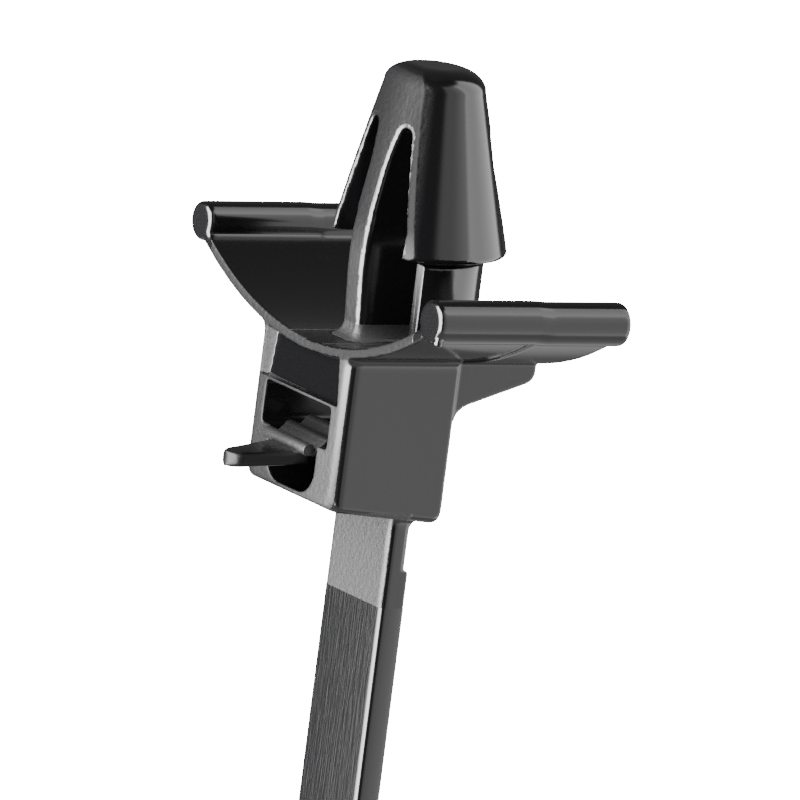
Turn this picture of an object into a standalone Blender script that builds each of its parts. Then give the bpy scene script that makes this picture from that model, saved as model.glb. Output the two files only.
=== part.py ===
"""Arrowhead mount cable tie, moulded in one piece: arrowhead, sprung wings, ratchet head and toothed strap.

Metres, +Z up. The origin is on the arrowhead's axis, in the plane of the panel that the wing beads seat on.
The head's window opens towards -Y, the wings reach out along X and the strap hangs along -Z.
"""
import math

import bmesh
import bpy
from mathutils import Vector

MM = 0.001

# Arrowhead
CONE_TOP_RADIUS = 2.15 * MM
CONE_RIM_RADIUS = 3.85 * MM
CONE_TOP_HEIGHT = 6.95 * MM
NOSE_HEIGHT = 7.85 * MM
NOSE_FLAT_RADIUS = 0.85 * MM
BARB_BOTTOM = 0.36 * MM
BARB_RIM_ROUND = 0.20 * MM
FACE_CROWN_RADIUS = 6.60 * MM
FACE_TOP_DEPTH = 1.66 * MM
BARB_FRONT_GAP = 2.30 * MM
BARB_REAR_GAP = 1.10 * MM
SLOT_TOP = 5.45 * MM
SLOT_TOP_WIDTH = 0.75 * MM
POST_WIDTH = 1.30 * MM
POST_ROOT_WIDTH = 1.72 * MM
POST_ROOT_FLARE = 1.70 * MM
POST_KNEE_HEIGHT = 0.60 * MM
POST_KNEE_DEPTH = 2.80 * MM
POST_FOOT_DEPTH = 2.55 * MM
POST_EDGE = 0.16 * MM
POST_FOOT_FLARE = 0.70 * MM

# Centring collar that fills the panel hole
COLLAR_RADIUS = 2.93 * MM
COLLAR_TOP = 0.10 * MM
COLLAR_WALL = 0.70 * MM
COLLAR_FRONT = 1.07 * MM
COLLAR_EDGE = 0.12 * MM

# Sprung wings and their beads
WING_LENGTH = 9.10 * MM
WING_ARC_RADIUS = 16.6 * MM
BEAD_RADIUS = 0.81 * MM
BEAD_SPACING = 18.5 * MM
BEAD_END_ROUND = 0.20 * MM
WING_FLOOR_DEPTH = 3.55 * MM
WING_FRONT_THICKNESS = 0.43 * MM
WING_REAR_THICKNESS = 0.56 * MM
WING_END_TO_BEAD_AXIS = 0.45 * MM

# Ratchet head
HEAD_WIDTH = 7.20 * MM
HEAD_DEPTH = 5.45 * MM
HEAD_BOTTOM_DEPTH = 10.05 * MM
HEAD_REAR_DROP = 0.48 * MM
HEAD_EDGE = 0.50 * MM
HEAD_BOTTOM_EDGE = 0.35 * MM
HEAD_WING_FILLET = 0.55 * MM
POCKET_TOP_WIDTH = 5.40 * MM
POCKET_BOTTOM_WIDTH = 6.00 * MM
POCKET_RECESS = 0.35 * MM
POCKET_LIP = 0.18 * MM
POCKET_HEIGHT = 2.00 * MM
SLOT_HEIGHT = 1.75 * MM
SLOT_SIDE_CLEARANCE = 0.30 * MM
LEDGE_THICKNESS = 0.15 * MM
CAVITY_WIDTH = 3.80 * MM
CAVITY_CORNER = 1.10 * MM
PASSAGE_CORNER = 0.16 * MM
FLOOR_THICKNESS = 0.30 * MM
GUSSET_INSET = 0.22 * MM
GUSSET_THICKNESS = 0.95 * MM
GUSSET_ROOT_HEIGHT = 1.96 * MM
GUSSET_TIP_HEIGHT = 0.95 * MM
GUSSET_TIP_ROUND = 0.55 * MM
GUSSET_SETBACK = 0.05 * MM

# Pawl and its release tab
PAWL_WIDTH = 3.30 * MM
PAWL_THICKNESS = 0.55 * MM
PAWL_ROOT_THICKNESS = 1.20 * MM
PAWL_TOOTH_RADIUS = 0.26 * MM
PAWL_TOOTH_COUNT = 3
PAWL_RISE_PER_TOOTH = 0.38 * MM
PAWL_FRONT_REACH = 0.20 * MM
PAWL_FRONT_DROP = 7.78 * MM
TAB_LENGTH = 2.65 * MM
TAB_DROP = 0.40 * MM
TAB_ROOT_WIDTH = 2.50 * MM
TAB_TIP_WIDTH = 1.40 * MM
TAB_THICKNESS = 0.60 * MM

# Strap
STRAP_WIDTH = 4.60 * MM
STRAP_THICKNESS = 1.12 * MM
STRAP_REAR = 0.33 * MM
STRAP_EDGE = 0.28 * MM
RAIL_EDGE = 0.08 * MM
STRAP_LENGTH = 160.0 * MM
NECK_LENGTH = 2.80 * MM
NECK_THICKNESS = 1.00 * MM
NECK_SIDE_INSET = 0.04 * MM
NECK_FILLET = 0.60 * MM
NECK_SIDE_FLARE = 0.24 * MM
TOOTH_PITCH = 1.00 * MM
TOOTH_DEPTH = 0.38 * MM
TOOTH_LAND = 0.25 * MM
RAIL_WIDTH = 0.60 * MM
TEETH_END_MARGIN = 22.0 * MM
TAIL_TAPER_LENGTH = 14.0 * MM
TAIL_TIP_WIDTH = 2.20 * MM
TAIL_THICKNESS = 0.75 * MM

# Where the named sizes put things
FRONT = -WING_LENGTH / 2
REAR = WING_LENGTH / 2
HEAD_REAR = FRONT + HEAD_DEPTH
HEAD_SIDE = HEAD_WIDTH / 2
HEAD_BOTTOM = -HEAD_BOTTOM_DEPTH
BEAD_HEIGHT = -BEAD_RADIUS
WING_FLOOR = -WING_FLOOR_DEPTH
ARC_CENTRE = WING_FLOOR + WING_ARC_RADIUS
POCKET_BOTTOM = WING_FLOOR - POCKET_LIP - POCKET_HEIGHT
SLOT_CEILING = POCKET_BOTTOM - LEDGE_THICKNESS
SLOT_FLOOR = SLOT_CEILING - SLOT_HEIGHT
STRAP_FRONT = STRAP_REAR - STRAP_THICKNESS
NECK_REAR = STRAP_FRONT + NECK_THICKNESS
NECK_END = HEAD_BOTTOM - NECK_LENGTH
STRAP_END = HEAD_BOTTOM - STRAP_LENGTH
OVERLAP = 0.20 * MM
ROUND_STEPS = 48
BEAD_STEPS = 24
CORNER_STEPS = 4


def clear_scene():
    for obj in list(bpy.data.objects):
        bpy.data.objects.remove(obj, do_unlink=True)


def add_mesh(name, bm):
    bmesh.ops.recalc_face_normals(bm, faces=bm.faces)
    mesh = bpy.data.meshes.new(name)
    bm.to_mesh(mesh)
    bm.free()
    obj = bpy.data.objects.new(name, mesh)
    bpy.context.scene.collection.objects.link(obj)
    return obj


def prism(name, outline, axis, low, high):
    """Extrudes a flat outline along x, y or z; the outline gives the other two coordinates in order."""
    bm = bmesh.new()
    place = {
        "x": lambda a, b: Vector((low, a, b)),
        "y": lambda a, b: Vector((a, low, b)),
        "z": lambda a, b: Vector((a, b, low)),
    }[axis]
    face = bm.faces.new([bm.verts.new(place(a, b)) for a, b in outline])
    grown = bmesh.ops.extrude_face_region(bm, geom=[face])
    step = Vector([high - low if axis == name_of else 0.0 for name_of in "xyz"])
    moved = [item for item in grown["geom"] if isinstance(item, bmesh.types.BMVert)]
    bmesh.ops.translate(bm, verts=moved, vec=step)
    return add_mesh(name, bm)


def loft(name, rings):
    """Skins a closed solid through rings that have the same number of points."""
    bm = bmesh.new()
    loops = [[bm.verts.new(point) for point in ring] for ring in rings]
    count = len(loops[0])
    for lower, upper in zip(loops, loops[1:]):
        for i in range(count):
            j = (i + 1) % count
            bm.faces.new((lower[i], lower[j], upper[j], upper[i]))
    bm.faces.new(loops[0])
    bm.faces.new(loops[-1])
    return add_mesh(name, bm)


def turned(name, profile, steps=ROUND_STEPS):
    """Spins a profile of (radius, height) points, which starts and ends on the axis, about z."""
    bm = bmesh.new()
    points = [bm.verts.new((radius, 0.0, height)) for radius, height in profile]
    edges = [bm.edges.new(pair) for pair in zip(points, points[1:])]
    bmesh.ops.spin(bm, geom=points + edges, cent=(0, 0, 0), axis=(0, 0, 1), angle=2 * math.pi, steps=steps)
    bmesh.ops.remove_doubles(bm, verts=bm.verts, dist=1e-7)
    return add_mesh(name, bm)


def combine(body, tool, operation):
    """Joins a tool to a body, or cuts it out, and removes the tool."""
    modifier = body.modifiers.new(operation.lower(), "BOOLEAN")
    modifier.operation = operation
    modifier.solver = "EXACT"
    modifier.object = tool
    depsgraph = bpy.context.evaluated_depsgraph_get()
    mesh = bpy.data.meshes.new_from_object(body.evaluated_get(depsgraph))
    body.modifiers.clear()
    body.data = mesh
    bpy.data.objects.remove(tool, do_unlink=True)


def arc(centre, radius, start, end, steps):
    """Points of a circular arc, angles in degrees."""
    points = []
    for i in range(steps + 1):
        angle = math.radians(start + (end - start) * i / steps)
        points.append((centre[0] + radius * math.cos(angle), centre[1] + radius * math.sin(angle)))
    return points


def blend(start, corner, end, steps):
    """Points of a curve that leaves start and reaches end along the two lines that meet in corner."""
    points = []
    for i in range(steps + 1):
        t = i / steps
        shares = ((1 - t) ** 2, 2 * t * (1 - t), t * t)
        points.append(tuple(sum(w * p[k] for w, p in zip(shares, (start, corner, end))) for k in (0, 1)))
    return points


def rounded_box_outline(left, right, low, high, corner, steps=CORNER_STEPS):
    corners = (
        ((right - corner, low + corner), -90, 0),
        ((right - corner, high - corner), 0, 90),
        ((left + corner, high - corner), 90, 180),
        ((left + corner, low + corner), 180, 270),
    )
    return [point for centre, start, end in corners for point in arc(centre, corner, start, end, steps)]


def mirrored(right):
    """Closes a right-hand outline with its mirror image."""
    return right + [(-x, z) for x, z in reversed(right)]


def quarter_round(steps=3):
    """Shares (along, inward) of a rounded edge, from its start on the face to its end on the side."""
    angles = [math.radians(90 * i / steps) for i in range(steps + 1)]
    return [(1 - math.sin(angle), 1 - math.cos(angle)) for angle in angles]


def cone_radius(height):
    share = (CONE_TOP_HEIGHT - height) / (CONE_TOP_HEIGHT - BARB_BOTTOM)
    return CONE_TOP_RADIUS + share * (CONE_RIM_RADIUS - CONE_TOP_RADIUS)


def floor_at(x, drop=0.0):
    """Height of the wing's upper surface, or of a surface a given thickness below it."""
    radius = WING_ARC_RADIUS + drop
    return ARC_CENTRE - math.sqrt(radius * radius - x * x)


def make_cone():
    """The arrowhead's turned body: rounded nose, cone and a rounded rim at the barbs' lower ends."""
    nose_rise = NOSE_HEIGHT - CONE_TOP_HEIGHT
    nose_reach = CONE_TOP_RADIUS - NOSE_FLAT_RADIUS
    profile = [(0.0, NOSE_HEIGHT)]
    for i in range(6):
        angle = math.radians(90 - 15 * i)
        height = CONE_TOP_HEIGHT + nose_rise * math.sin(angle)
        profile.append((NOSE_FLAT_RADIUS + nose_reach * math.cos(angle), height))
    rim_top = BARB_BOTTOM + BARB_RIM_ROUND
    profile.append((CONE_TOP_RADIUS, CONE_TOP_HEIGHT))
    rim_centre = (cone_radius(rim_top) - BARB_RIM_ROUND, rim_top)
    profile += arc(rim_centre, BARB_RIM_ROUND, 0, -90, 3)
    profile.append((0.0, BARB_BOTTOM))
    return turned("cone", profile)


def face_depth(height):
    """Depth of the post's front and rear faces, which taper straight from the nose down to the knee."""
    share = (CONE_TOP_HEIGHT - height) / (CONE_TOP_HEIGHT - POST_KNEE_HEIGHT)
    return FACE_TOP_DEPTH + share * (POST_KNEE_DEPTH - FACE_TOP_DEPTH)


def crown_front_face(cone):
    """Gives the arrowhead its slanting, gently crowned front face, which the post's front lies in."""
    above = NOSE_HEIGHT + OVERLAP
    below = BARB_BOTTOM - OVERLAP
    rings = []
    for height in (below, above):
        centre = FACE_CROWN_RADIUS - face_depth(height)
        circle = arc((0.0, centre), FACE_CROWN_RADIUS, 0, 360, 2 * ROUND_STEPS)[:-1]
        rings.append([Vector((x, y, height)) for x, y in circle])
    combine(cone, loft("crown", rings), "INTERSECT")


def make_slot_cutter(side):
    """One arched slot, which widens downwards and towards the front; the post spreads at its top."""
    inner = POST_WIDTH / 2
    root = POST_ROOT_WIDTH / 2
    below = BARB_BOTTOM - OVERLAP
    arch = SLOT_TOP_WIDTH / 2
    top = SLOT_TOP - arch
    spread_end = (inner, top - POST_ROOT_FLARE)
    spread_corner = (inner, top - POST_ROOT_FLARE / 2)
    rings = []
    for y, gap in ((-CONE_RIM_RADIUS, BARB_FRONT_GAP), (CONE_RIM_RADIUS, BARB_REAR_GAP)):
        outline = [(inner, below), (inner + gap, below)]
        outline += arc((root + arch, top), arch, 0, 180, 6)
        outline += blend((root, top), spread_corner, spread_end, CORNER_STEPS)[1:]
        rings.append([Vector((side * x, y, z)) for x, z in outline])
    return loft("slot_cutter", rings)


def cut_barb_slots(cone):
    """Frees both barbs from the post, and clears the cone away behind it."""
    for side in (-1, 1):
        combine(cone, make_slot_cutter(side), "DIFFERENCE")
    below = BARB_BOTTOM - OVERLAP
    top = SLOT_TOP - SLOT_TOP_WIDTH / 2
    relief = [(0.0, below), (CONE_RIM_RADIUS, below), (CONE_RIM_RADIUS, top), (0.0, top)]
    half = (POST_ROOT_WIDTH + OVERLAP) / 2
    combine(cone, prism("relief_cutter", relief, "x", -half, half), "DIFFERENCE")


def make_post():
    """The post: a tapered blade that starts inside the arrowhead and flares into the wing floor."""
    top = SLOT_TOP + OVERLAP
    seated = POST_WIDTH ** 2 / (8 * FACE_CROWN_RADIUS)
    stations = [(WING_FLOOR - WING_FRONT_THICKNESS / 2, POST_FOOT_FLARE, POST_FOOT_DEPTH)]
    for spread, rise in quarter_round(4):
        stations.append((WING_FLOOR + POST_FOOT_FLARE * rise, POST_FOOT_FLARE * spread, POST_FOOT_DEPTH))
    stations.append((POST_KNEE_HEIGHT, 0.0, POST_KNEE_DEPTH))
    stations.append((top, 0.0, face_depth(top) - seated))
    rings = []
    for height, spread, depth in stations:
        half_width = POST_WIDTH / 2 + spread
        half_depth = depth + spread
        section = rounded_box_outline(-half_width, half_width, -half_depth, half_depth, POST_EDGE + spread, 3)
        rings.append([Vector((x, y, height)) for x, y in section])
    return loft("post", rings)


def make_collar():
    """The centring collar: an open ring round the post, turned to the hole's size."""
    foot = WING_FLOOR - WING_FRONT_THICKNESS / 2
    inner = COLLAR_RADIUS - COLLAR_WALL
    rim = arc((COLLAR_RADIUS - COLLAR_EDGE, COLLAR_TOP - COLLAR_EDGE), COLLAR_EDGE, 90, 0, 3)
    collar = turned("collar", [(0.0, COLLAR_TOP)] + rim + [(COLLAR_RADIUS, foot), (0.0, foot)])
    mouth = COLLAR_TOP + OVERLAP
    hollow = [(0.0, mouth), (inner, mouth), (inner, WING_FLOOR), (0.0, WING_FLOOR)]
    combine(collar, turned("hollow", hollow), "DIFFERENCE")
    wide = COLLAR_RADIUS + OVERLAP
    front = [(-wide, -wide), (wide, -wide), (wide, -COLLAR_FRONT), (-wide, -COLLAR_FRONT)]
    combine(collar, prism("collar_front", front, "z", foot - OVERLAP, COLLAR_TOP + OVERLAP), "DIFFERENCE")
    return collar


def wing_outline(thickness, steps=28):
    """Section of the sprung plate; from the middle of its ends it runs up to the beads' axes."""
    reach = BEAD_SPACING / 2 - WING_END_TO_BEAD_AXIS
    xs = [reach * (2 * i / steps - 1) for i in range(steps + 1)]
    upper = [(x, floor_at(x)) for x in xs]
    lower = [(x, floor_at(x, thickness)) for x in reversed(xs)]
    middle = (upper[-1][1] + lower[0][1]) / 2
    right = [(BEAD_SPACING / 2, BEAD_HEIGHT), (reach, middle)]
    left = [(-x, z) for x, z in reversed(right)]
    return upper + right + lower + left


def make_wings():
    """The sprung plate in its two thicknesses, which meet in the plane of the head's rear wall."""
    plate = prism("wings", wing_outline(WING_FRONT_THICKNESS), "y", FRONT, HEAD_REAR + OVERLAP)
    rear = prism("rear_plate", wing_outline(WING_REAR_THICKNESS), "y", HEAD_REAR, REAR)
    combine(plate, rear, "UNION")
    for side in (-1, 1):
        combine(plate, make_bead(side), "UNION")
    return plate


def make_bead(side):
    """One bead: a rod along the wing's edge with rounded ends."""
    rounded = []
    for along, inward in quarter_round():
        rounded.append((BEAD_END_ROUND * inward, BEAD_RADIUS - BEAD_END_ROUND * along))
    stations = [(FRONT + back, radius) for back, radius in rounded]
    stations += [(REAR - back, radius) for back, radius in reversed(rounded)]
    centre = (side * BEAD_SPACING / 2, BEAD_HEIGHT)
    rings = []
    for y, radius in stations:
        circle = arc(centre, radius, 0, 360, BEAD_STEPS)[:-1]
        rings.append([Vector((x, y, z)) for x, z in circle])
    return loft("bead", rings)


def make_head_block():
    """The head's outer form: it flares into the wings and its upright edges are rounded."""
    reach = HEAD_SIDE + HEAD_WING_FILLET
    half_wing = WING_FRONT_THICKNESS / 2
    under = floor_at(HEAD_SIDE, WING_FRONT_THICKNESS)
    wing_end = (reach, floor_at(reach, WING_FRONT_THICKNESS))
    fillet = blend((HEAD_SIDE, under - HEAD_WING_FILLET), (HEAD_SIDE, under), wing_end, CORNER_STEPS)
    edge_round = [(HEAD_EDGE * along, HEAD_EDGE * inward) for along, inward in quarter_round()]
    stations = [(FRONT + back, inset) for back, inset in reversed(edge_round)]
    stations += [(HEAD_REAR - back, inset) for back, inset in edge_round]
    rings = []
    for y, inset in stations:
        drop = HEAD_REAR_DROP * (y - FRONT) / HEAD_DEPTH
        side = HEAD_SIDE - inset
        edge = HEAD_BOTTOM_EDGE + inset
        bottom = HEAD_BOTTOM + inset / 2
        corner = arc((side - edge, bottom + edge), edge, -90, 0, 3)
        right = [(x, z - drop) for x, z in corner] + [(x - inset, z) for x, z in fillet]
        top_at = (reach - inset, side, side * 3 / 4, side / 2, side / 4)
        right += [(x, floor_at(x, half_wing)) for x in top_at]
        rings.append([Vector((x, y, z)) for x, z in mirrored(right)])
    return loft("head", rings)


def make_pocket_cutter():
    """The shallow panel over the strap passage: its top follows the wing and its sides spread downwards."""
    top = POCKET_TOP_WIDTH / 2
    right = [(POCKET_BOTTOM_WIDTH / 2, POCKET_BOTTOM)]
    right += [(x, floor_at(x) - POCKET_LIP) for x in (top, top * 2 / 3, top / 3)]
    return prism("pocket", mirrored(right), "y", FRONT - OVERLAP, FRONT + POCKET_RECESS)


def make_head():
    """The ratchet head with its panel pocket, its strap passage and the pawl's cavity."""
    head = make_head_block()
    combine(head, make_pocket_cutter(), "DIFFERENCE")
    in_front = FRONT - OVERLAP
    half_slot = STRAP_WIDTH / 2 + SLOT_SIDE_CLEARANCE
    passage = rounded_box_outline(-half_slot, half_slot, SLOT_FLOOR, SLOT_CEILING, PASSAGE_CORNER, 2)
    combine(head, prism("passage", passage, "y", in_front, HEAD_REAR + OVERLAP), "DIFFERENCE")
    half_cavity = CAVITY_WIDTH / 2
    bowl_centre = (half_cavity - CAVITY_CORNER, HEAD_BOTTOM + FLOOR_THICKNESS + CAVITY_CORNER)
    cavity = mirrored(arc(bowl_centre, CAVITY_CORNER, -90, 0, 6) + [(half_cavity, SLOT_FLOOR + OVERLAP)])
    combine(head, prism("cavity", cavity, "y", in_front, STRAP_FRONT - FLOOR_THICKNESS), "DIFFERENCE")
    return head


def make_pawl():
    """The sprung pawl: a ramp of rounded teeth that rises to the rear, where it is rooted in the head."""
    front = FRONT - PAWL_FRONT_REACH
    pitch = TOOTH_PITCH * math.cos(math.asin(PAWL_RISE_PER_TOOTH / TOOTH_PITCH))
    crests = []
    for i in range(PAWL_TOOTH_COUNT):
        crests.append((front + i * pitch, -PAWL_FRONT_DROP + i * PAWL_RISE_PER_TOOTH))
    upper = arc(crests[0], PAWL_TOOTH_RADIUS, 235, -10, 6)
    for crest in crests[1:]:
        upper += arc(crest, PAWL_TOOTH_RADIUS, 150, -10, 4)
    root = (STRAP_FRONT, crests[-1][1] - PAWL_TOOTH_RADIUS)
    lower_rear = (STRAP_FRONT, root[1] - PAWL_ROOT_THICKNESS)
    lower = (crests[-1][0], crests[-1][1] - PAWL_THICKNESS - PAWL_TOOTH_RADIUS)
    pawl = prism("pawl", upper + [root, lower_rear, lower], "x", -PAWL_WIDTH / 2, PAWL_WIDTH / 2)
    combine(pawl, make_tab(crests[0]), "UNION")
    return pawl


def make_tab(crest):
    """The release tab: a tongue that runs out and down from the pawl's nose to a rounded tip."""
    y0, z0 = crest
    root_y = y0 + PAWL_TOOTH_RADIUS / 2
    straight = TAB_LENGTH - TAB_TIP_WIDTH / 2
    side = [(TAB_ROOT_WIDTH / 2, root_y), (TAB_TIP_WIDTH / 2, y0 - straight)]
    tip = arc((0.0, y0 - straight), TAB_TIP_WIDTH / 2, -20, -160, 6)
    outline = side + tip + [(-x, y) for x, y in reversed(side)]
    slope = TAB_DROP / TAB_LENGTH
    rings = []
    for level in (-TAB_THICKNESS, 0.0):
        rings.append([Vector((x, y, z0 + level - slope * (y0 - y))) for x, y in outline])
    return loft("tab", rings)


def make_gusset(side):
    """One rib that carries the wing's rear half from the head's rear wall."""
    outer = side * (HEAD_SIDE - GUSSET_INSET)
    inner = outer - side * GUSSET_THICKNESS
    deep = floor_at(HEAD_SIDE, WING_REAR_THICKNESS)
    top = floor_at(HEAD_SIDE, WING_REAR_THICKNESS / 2)
    tip = deep - GUSSET_TIP_HEIGHT
    root = deep - GUSSET_ROOT_HEIGHT
    back = REAR - GUSSET_SETBACK
    outline = [(HEAD_REAR - OVERLAP, top), (back, top), (back, tip + GUSSET_TIP_ROUND)]
    outline += arc((back - GUSSET_TIP_ROUND, tip + GUSSET_TIP_ROUND), GUSSET_TIP_ROUND, -15, -75, 3)
    outline += [(HEAD_REAR + GUSSET_TIP_ROUND, root), (HEAD_REAR, root - GUSSET_TIP_ROUND / 2)]
    outline += [(HEAD_REAR - OVERLAP, root - GUSSET_TIP_ROUND / 2)]
    return prism("gusset", outline, "x", min(outer, inner), max(outer, inner))


def make_neck():
    """The strap's first stretch: it has no teeth and flares into the head's underside."""
    rings = [(HEAD_BOTTOM + FLOOR_THICKNESS / 2, 1.0)]
    root = HEAD_BOTTOM - HEAD_REAR_DROP / 2
    rings += [(root - NECK_FILLET * drop, spread) for spread, drop in quarter_round(4)]
    rings.append((NECK_END - OVERLAP, 0.0))
    loops = []
    for z, share in rings:
        half = STRAP_WIDTH / 2 - NECK_SIDE_INSET + NECK_SIDE_FLARE * share
        rear = NECK_REAR + NECK_FILLET * share
        section = rounded_box_outline(-half, half, STRAP_FRONT, rear, STRAP_EDGE, 3)
        loops.append([Vector((x, y, z)) for x, y in section])
    return loft("neck", loops)


def strap_section(half_width):
    """The strap's section, rounded along its front edges and blunted along its rails."""
    right = arc((half_width - STRAP_EDGE, STRAP_FRONT + STRAP_EDGE), STRAP_EDGE, -90, 0, 3)
    right += arc((half_width - RAIL_EDGE, STRAP_REAR - RAIL_EDGE), RAIL_EDGE, 0, 90, 1)
    return mirrored(right)


def make_strap():
    """The strap below its neck: a toothed track between two rails, then a thin tapered tail."""
    half = STRAP_WIDTH / 2
    tip = TAIL_TIP_WIDTH / 2
    stations = [(half, NECK_END), (half, STRAP_END + TAIL_TAPER_LENGTH)]
    stations += arc((0.0, STRAP_END + tip), tip, -8, -70, 5)
    rings = []
    for half_width, z in stations:
        rings.append([Vector((x, y, z)) for x, y in strap_section(half_width)])
    strap = loft("strap", rings)
    wide = half + OVERLAP
    tail_rear = STRAP_FRONT + TAIL_THICKNESS
    teeth_end = STRAP_END + TEETH_END_MARGIN
    tail = [(STRAP_REAR + OVERLAP, teeth_end), (tail_rear, teeth_end - TOOTH_PITCH)]
    tail += [(tail_rear, STRAP_END - OVERLAP), (STRAP_REAR + OVERLAP, STRAP_END - OVERLAP)]
    combine(strap, prism("tail_cutter", tail, "x", -wide, wide), "DIFFERENCE")
    combine(strap, make_tooth_cutter(NECK_END - TOOTH_LAND, teeth_end + TOOTH_PITCH), "DIFFERENCE")
    return strap


def make_tooth_cutter(start, end):
    """A comb that cuts the saw teeth into the strap's rear face between its rails."""
    count = int((start - end) / TOOTH_PITCH)
    bottom = STRAP_REAR - TOOTH_DEPTH
    crest = STRAP_REAR - TOOTH_DEPTH / 6
    outside = STRAP_REAR + OVERLAP
    outline = [(outside, start)]
    for i in range(count):
        z = start - i * TOOTH_PITCH
        outline += [(crest, z), (crest, z - TOOTH_LAND), (bottom, z - TOOTH_LAND - TOOTH_DEPTH / 4)]
    last = start - count * TOOTH_PITCH
    outline += [(crest, last), (outside, last)]
    half = STRAP_WIDTH / 2 - RAIL_WIDTH
    return prism("tooth_cutter", outline, "x", -half, half)


def make_material():
    material = bpy.data.materials.new("black_nylon")
    material.use_nodes = True
    shader = material.node_tree.nodes["Principled BSDF"]
    shader.inputs["Base Color"].default_value = (0.018, 0.018, 0.019, 1.0)
    shader.inputs["Roughness"].default_value = 0.38
    shader.inputs["Metallic"].default_value = 0.0
    return material


def build():
    clear_scene()
    tie = make_cone()
    crown_front_face(tie)
    cut_barb_slots(tie)
    combine(tie, make_post(), "UNION")
    combine(tie, make_collar(), "UNION")
    combine(tie, make_wings(), "UNION")
    lower = make_head()
    combine(lower, make_pawl(), "UNION")
    combine(tie, lower, "UNION")
    for side in (-1, 1):
        combine(tie, make_gusset(side), "UNION")
    lower_strap = make_strap()
    combine(lower_strap, make_neck(), "UNION")
    combine(tie, lower_strap, "UNION")
    tie.name = "cable_tie"
    tie.data.name = "cable_tie"
    tie.data.materials.clear()
    tie.data.materials.append(make_material())
    tie.data.shade_smooth()
    tie.data.set_sharp_from_angle(angle=math.radians(30))
    return tie


build()
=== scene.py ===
import math

import bmesh
import bpy
from mathutils import Matrix, Vector
from mathutils.kdtree import KDTree


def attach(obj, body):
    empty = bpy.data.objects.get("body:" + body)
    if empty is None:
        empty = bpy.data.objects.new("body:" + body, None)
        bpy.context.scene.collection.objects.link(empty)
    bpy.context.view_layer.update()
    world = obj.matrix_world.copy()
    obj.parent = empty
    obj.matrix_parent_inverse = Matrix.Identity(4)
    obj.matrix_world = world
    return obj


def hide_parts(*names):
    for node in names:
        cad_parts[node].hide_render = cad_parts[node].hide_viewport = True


# An arrowhead mount cable tie in black nylon: arrowhead, sprung wings, ratchet head and toothed strap.
# The shapes are drawn in millimetres and scaled to the frame's metres when they are finished.

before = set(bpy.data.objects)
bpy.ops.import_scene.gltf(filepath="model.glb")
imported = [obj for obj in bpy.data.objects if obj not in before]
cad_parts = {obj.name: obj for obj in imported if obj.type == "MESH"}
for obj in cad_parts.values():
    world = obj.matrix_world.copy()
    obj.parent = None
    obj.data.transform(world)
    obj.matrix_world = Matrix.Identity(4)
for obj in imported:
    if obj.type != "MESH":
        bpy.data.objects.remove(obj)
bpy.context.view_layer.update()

MM = 0.001

# Arrowhead
CONE_TOP_RADIUS = 2.15
CONE_RIM_RADIUS = 3.85
CONE_TOP_HEIGHT = 6.95
NOSE_HEIGHT = 7.85
NOSE_FLAT_RADIUS = 0.85
NOSE_FRONT_ROUND = 0.90
BARB_BOTTOM = 0.36
BARB_RIM_ROUND = 0.20
FACE_CROWN_RADIUS = 6.60
FACE_TOP_DEPTH = 1.66
BARB_FRONT_GAP = 2.30
BARB_REAR_GAP = 1.10
SLOT_TOP = 5.45
SLOT_TOP_WIDTH = 0.75
SLOT_FLARE_HEIGHT = 1.70
POST_WIDTH = 1.30
POST_ROOT_WIDTH = 1.72
POST_KNEE_HEIGHT = 0.60
POST_KNEE_DEPTH = 2.80
POST_FOOT_DEPTH = 2.55
POST_EDGE = 0.22
POST_KNEE_REACH = 1.2
POST_FOOT_FLARE = 0.70
POST_FOOT_SEAT = 0.02

# Centring collar
COLLAR_RADIUS = 2.93
COLLAR_TOP = 0.10
COLLAR_WALL = 0.55
COLLAR_FRONT = 1.07
COLLAR_EDGE = 0.12

# Sprung wings and their beads
WING_LENGTH = 9.10
WING_ARC_RADIUS = 16.6
BEAD_RADIUS = 0.90
BEAD_CENTRE_DEPTH = 0.72
BEAD_REAR_SAG = 0.04
BEAD_STEP_LENGTH = 0.60
FAR_BEAD_RADIUS = 0.82
GATE_MARK_RADIUS = 0.20
GATE_MARK_OUT = 0.60
GATE_MARK_BACK = 0.15
GATE_MARK_DROP = 0.76
BEAD_SPACING = 18.5
BEAD_END_ROUND = 0.20
WING_FLOOR_DEPTH = 3.55
WING_FRONT_THICKNESS = 0.43
WING_REAR_THICKNESS = 0.56

# Ratchet head
HEAD_WIDTH = 7.20
HEAD_DEPTH = 5.45
HEAD_BOTTOM_DEPTH = 10.05
HEAD_REAR_DROP = 0.48
HEAD_EDGE = 0.50
HEAD_REAR_EDGE = 0.14
HEAD_REAR_ROUND = 0.42
HEAD_REAR_SETBACK = 0.15
HEAD_BOTTOM_EDGE = 0.35
HEAD_WING_FILLET = 0.55
POCKET_TOP_WIDTH = 5.40
POCKET_BOTTOM_WIDTH = 6.00
POCKET_RECESS = 0.35
POCKET_CHAMFER = 0.40
POCKET_LIP = 0.18
POCKET_HEIGHT = 2.00
SLOT_HEIGHT = 1.75
SLOT_SIDE_CLEARANCE = 0.30
SLOT_CORNER = 0.16
LEDGE_THICKNESS = 0.15
CAVITY_WIDTH = 3.80
CAVITY_CORNER = 1.10
FLOOR_THICKNESS = 0.30
GUSSET_INSET = 0.22
GUSSET_THICKNESS = 0.95
GUSSET_ROOT_HEIGHT = 1.96
GUSSET_TIP_HEIGHT = 0.95
GUSSET_TIP_ROUND = 0.55
GUSSET_CURVE_RUN = 0.90
GUSSET_CURVE_RISE = 0.25

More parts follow.
